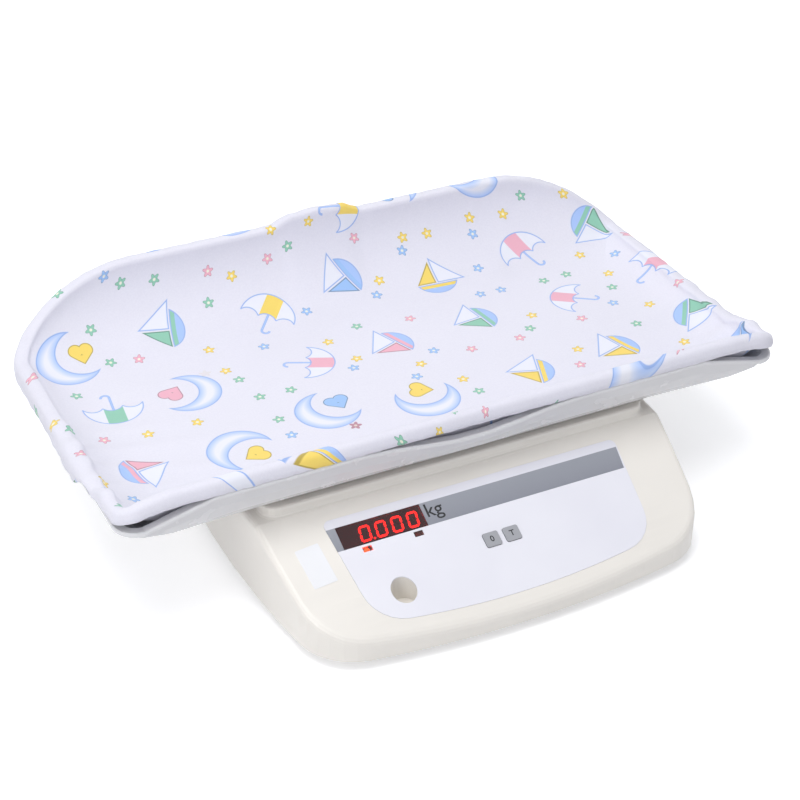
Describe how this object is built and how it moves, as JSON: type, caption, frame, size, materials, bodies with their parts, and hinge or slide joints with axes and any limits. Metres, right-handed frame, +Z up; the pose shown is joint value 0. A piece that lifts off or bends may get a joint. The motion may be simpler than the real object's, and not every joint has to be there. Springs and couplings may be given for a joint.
{
  "type": "digital baby weighing scale",
  "caption": "Baby weighing scale: long cradle tray with a fitted cloth cover on a low housing with a sloping display panel, keys, bubble level and levelling feet",
  "frame": {"origin": "on the floor, under the middle of the whole scale", "axes": "+Z up, +X to the user's right, -Y towards the user, who faces the panel"},
  "size_m": [0.5434, 0.3866, 0.1604],
  "materials": {
    "housing": "fine satin moulded ABS, cream",
    "film": "pale satin polyester film",
    "smoked": "smoked red acrylic",
    "lamp_lens": "tinted acrylic",
    "board": "green circuit board",
    "black_plastic": "moulded black",
    "lit_red": "lit red",
    "key": "satin grey",
    "dark_grey": "moulded dark grey",
    "glass": "clear",
    "sticker": "plain white sticker",
    "steel": "zinc plated",
    "aluminium": "milled",
    "brass": "turned",
    "rubber": "moulded black rubber",
    "tray": "smooth white moulding",
    "cloth": "pale printed cotton"
  },
  "bodies": {
    "base": {"upper_housing": "housing", "lower_housing": "housing", "panel_film": "film", "display_window": "smoked", "lamp_windows": "lamp_lens", "front_board": "board", "display_module": "black_plastic", "display_digits": "lit_red", "lamps": "lit_red", "key_switches": "black_plastic", "level_cup": "dark_grey", "level_glass": "glass", "level_bubble": "glass", "label": "sticker", "main_board": "board", "board_screws": "steel", "power_socket": "black_plastic", "load_cell": "aluminium", "cell_base_spacer": "steel", "cell_base_screws": "steel", "overload_stops": "steel", "housing_screws": "steel", "foot_inserts": "brass"},
    "platform": {"cell_top_spacer": "steel", "cell_top_screws": "steel", "platform_frame": "steel", "platform_posts": "aluminium", "tray_bumpers": "rubber"},
    "tray": {"tray_shell": "tray", "tray_sockets": "tray", "cover": "cloth"},
    "zero_button": {"zero_key": "key"},
    "tare_button": {"tare_key": "key"},
    "pad_front_left": {"foot_pad_front_left": "rubber"},
    "pad_front_right": {"foot_pad_front_right": "rubber"},
    "pad_back_left": {"foot_pad_back_left": "rubber"},
    "pad_back_right": {"foot_pad_back_right": "rubber"},
    "stud_front_left": {"foot_stud_front_left": "steel"},
    "stud_front_right": {"foot_stud_front_right": "steel"},
    "stud_back_left": {"foot_stud_back_left": "steel"},
    "stud_back_right": {"foot_stud_back_right": "steel"}
  },
  "joints": [
    {"name": "platform_sink", "type": "slide", "parent": "base", "child": "platform", "axis": [0, 0, 1], "range_m": [-0.0005, 0], "stiffness_N_per_m": 20000, "springref_m": 0.004, "deforming": ["load_cell"]},
    {"name": "tray_lift", "type": "slide", "parent": "platform", "child": "tray", "axis": [0, 0, 1], "range_m": [0, 0.06]},
    {"name": "zero_press", "type": "slide", "parent": "base", "child": "zero_button", "axis": [0, -0.4384, 0.8988], "range_m": [-0.0004, 0], "stiffness_N_per_m": 600, "springref_m": 0.001},
    {"name": "tare_press", "type": "slide", "parent": "base", "child": "tare_button", "axis": [0, -0.4384, 0.8988], "range_m": [-0.0004, 0], "stiffness_N_per_m": 600, "springref_m": 0.001},
    {"name": "pad_front_left_rise", "type": "slide", "parent": "base", "child": "pad_front_left", "axis": [0, 0, 1], "range_m": [-0.00375, 0.00375]},
    {"name": "pad_front_right_rise", "type": "slide", "parent": "base", "child": "pad_front_right", "axis": [0, 0, 1], "range_m": [-0.00375, 0.00375]},
    {"name": "pad_back_left_rise", "type": "slide", "parent": "base", "child": "pad_back_left", "axis": [0, 0, 1], "range_m": [-0.00375, 0.00375]},
    {"name": "pad_back_right_rise", "type": "slide", "parent": "base", "child": "pad_back_right", "axis": [0, 0, 1], "range_m": [-0.00375, 0.00375]},
    {"name": "stud_front_left_turn", "type": "hinge", "parent": "pad_front_left", "child": "stud_front_left", "pos_m": [-0.125, -0.14935, 0.015], "axis": [0, 0, 1], "range_deg": [-1080, 1080]},
    {"name": "stud_front_right_turn", "type": "hinge", "parent": "pad_front_right", "child": "stud_front_right", "pos_m": [0.125, -0.14935, 0.015], "axis": [0, 0, 1], "range_deg": [-1080, 1080]},
    {"name": "stud_back_left_turn", "type": "hinge", "parent": "pad_back_left", "child": "stud_back_left", "pos_m": [-0.125, 0.11265, 0.015], "axis": [0, 0, 1], "range_deg": [-1080, 1080]},
    {"name": "stud_back_right_turn", "type": "hinge", "parent": "pad_back_right", "child": "stud_back_right", "pos_m": [0.125, 0.11265, 0.015], "axis": [0, 0, 1], "range_deg": [-1080, 1080]}
  ],
  "couplings": [
    {"joint": "pad_front_left_rise", "follows": "stud_front_left_turn", "m_per_rad": 0.00019894},
    {"joint": "pad_front_right_rise", "follows": "stud_front_right_turn", "m_per_rad": 0.00019894},
    {"joint": "pad_back_left_rise", "follows": "stud_back_left_turn", "m_per_rad": 0.00019894},
    {"joint": "pad_back_right_rise", "follows": "stud_back_right_turn", "m_per_rad": 0.00019894}
  ]
}
